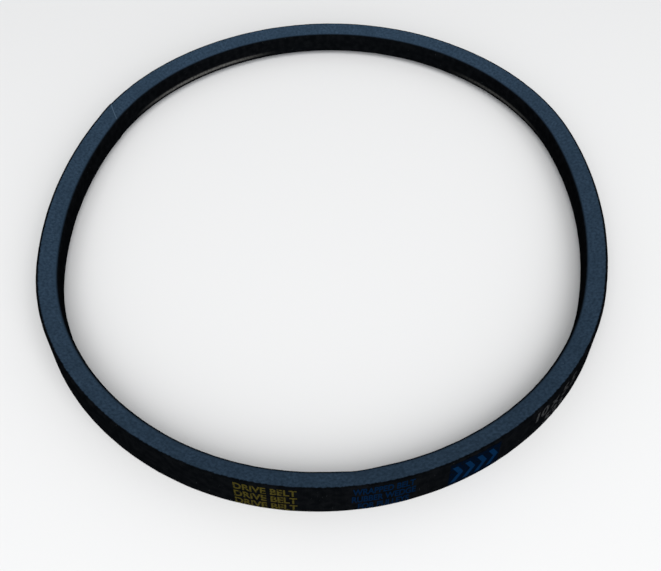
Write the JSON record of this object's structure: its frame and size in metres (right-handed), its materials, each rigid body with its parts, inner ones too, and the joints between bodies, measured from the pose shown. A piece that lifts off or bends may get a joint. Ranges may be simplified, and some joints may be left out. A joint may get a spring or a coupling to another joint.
{
  "type": "v belt",
  "caption": "Endless wrapped V-belt with a 10 mm wedge section: fabric cover, rubber layers and tension cord, as a relaxed oval loop that flexes.",
  "frame": {"origin": "middle of the loop, half way up the belt's width, which is the middle of the whole part's box", "axes": "+Z along the axis that the pulleys turn about, so the belt lies flat on its side; +Y along the long way of the oval, +X across it; the printed end is at -Y"},
  "size_m": [0.1522, 0.1832, 0.0096],
  "materials": {
    "cover_fabric": "matte",
    "top_rubber": "matte",
    "cord_rubber": "matte",
    "tension_cord": "satin",
    "base_rubber": "matte"
  },
  "bodies": {
    "front": {"cover_front": "cover_fabric", "top_rubber_front": "top_rubber", "cord_rubber_front": "cord_rubber", "tension_cords_front": "tension_cord", "base_rubber_front": "base_rubber"},
    "front_right": {"cover_front_right": "cover_fabric", "top_rubber_front_right": "top_rubber", "cord_rubber_front_right": "cord_rubber", "tension_cords_front_right": "tension_cord", "base_rubber_front_right": "base_rubber"},
    "right": {"cover_right": "cover_fabric", "top_rubber_right": "top_rubber", "cord_rubber_right": "cord_rubber", "tension_cords_right": "tension_cord", "base_rubber_right": "base_rubber"},
    "back_right": {"cover_back_right": "cover_fabric", "top_rubber_back_right": "top_rubber", "cord_rubber_back_right": "cord_rubber", "tension_cords_back_right": "tension_cord", "base_rubber_back_right": "base_rubber"},
    "back_half_right": {"cover_back_half_right": "cover_fabric", "top_rubber_back_half_right": "top_rubber", "cord_rubber_back_half_right": "cord_rubber", "tension_cords_back_half_right": "tension_cord", "base_rubber_back_half_right": "base_rubber"},
    "back_half_left": {"cover_back_half_left": "cover_fabric", "top_rubber_back_half_left": "top_rubber", "cord_rubber_back_half_left": "cord_rubber", "tension_cords_back_half_left": "tension_cord", "base_rubber_back_half_left": "base_rubber"},
    "back_left": {"cover_back_left": "cover_fabric", "top_rubber_back_left": "top_rubber", "cord_rubber_back_left": "cord_rubber", "tension_cords_back_left": "tension_cord", "base_rubber_back_left": "base_rubber"},
    "left": {"cover_left": "cover_fabric", "top_rubber_left": "top_rubber", "cord_rubber_left": "cord_rubber", "tension_cords_left": "tension_cord", "base_rubber_left": "base_rubber"},
    "front_left": {"cover_front_left": "cover_fabric", "top_rubber_front_left": "top_rubber", "cord_rubber_front_left": "cord_rubber", "tension_cords_front_left": "tension_cord", "base_rubber_front_left": "base_rubber"}
  },
  "joints": [
    {"name": "flex", "type": "hinge", "parent": "front", "child": "front_right", "pos_m": [0.03151, -0.08242, 0], "axis": [0, 0, 1], "range_deg": [-6, 6], "stiffness_Nm_per_rad": 0.15},
    {"name": "flex_at_right_front", "type": "hinge", "parent": "front_right", "child": "right", "pos_m": [0.07073, -0.03243, 0], "axis": [0, 0, 1], "range_deg": [-6, 6]},
    {"name": "flex_at_right_back", "type": "hinge", "parent": "right", "child": "back_right", "pos_m": [0.07073, 0.03243, 0], "axis": [0, 0, 1], "range_deg": [-6, 6]},
    {"name": "flex_at_back_right", "type": "hinge", "parent": "back_right", "child": "back_half_right", "pos_m": [0.03151, 0.08242, 0], "axis": [0, 0, 1], "range_deg": [-6, 6]},
    {"name": "flex_at_front_left", "type": "hinge", "parent": "front", "child": "front_left", "pos_m": [-0.03151, -0.08242, 0], "axis": [0, 0, 1], "range_deg": [-6, 6]},
    {"name": "flex_at_left_front", "type": "hinge", "parent": "front_left", "child": "left", "pos_m": [-0.07073, -0.03243, 0], "axis": [0, 0, 1], "range_deg": [-6, 6]},
    {"name": "flex_at_left_back", "type": "hinge", "parent": "left", "child": "back_left", "pos_m": [-0.07073, 0.03243, 0], "axis": [0, 0, 1], "range_deg": [-6, 6]},
    {"name": "flex_at_back_left", "type": "hinge", "parent": "back_left", "child": "back_half_left", "pos_m": [-0.03151, 0.08242, 0], "axis": [0, 0, 1], "range_deg": [-6, 6]}
  ],
  "couplings": [
    {"joint": "flex_at_right_front", "follows": "flex", "ratio": -1},
    {"joint": "flex_at_right_back", "follows": "flex", "ratio": -1},
    {"joint": "flex_at_back_right", "follows": "flex", "ratio": 1},
    {"joint": "flex_at_front_left", "follows": "flex", "ratio": -1},
    {"joint": "flex_at_left_front", "follows": "flex", "ratio": 1},
    {"joint": "flex_at_left_back", "follows": "flex", "ratio": 1},
    {"joint": "flex_at_back_left", "follows": "flex", "ratio": -1}
  ]
}
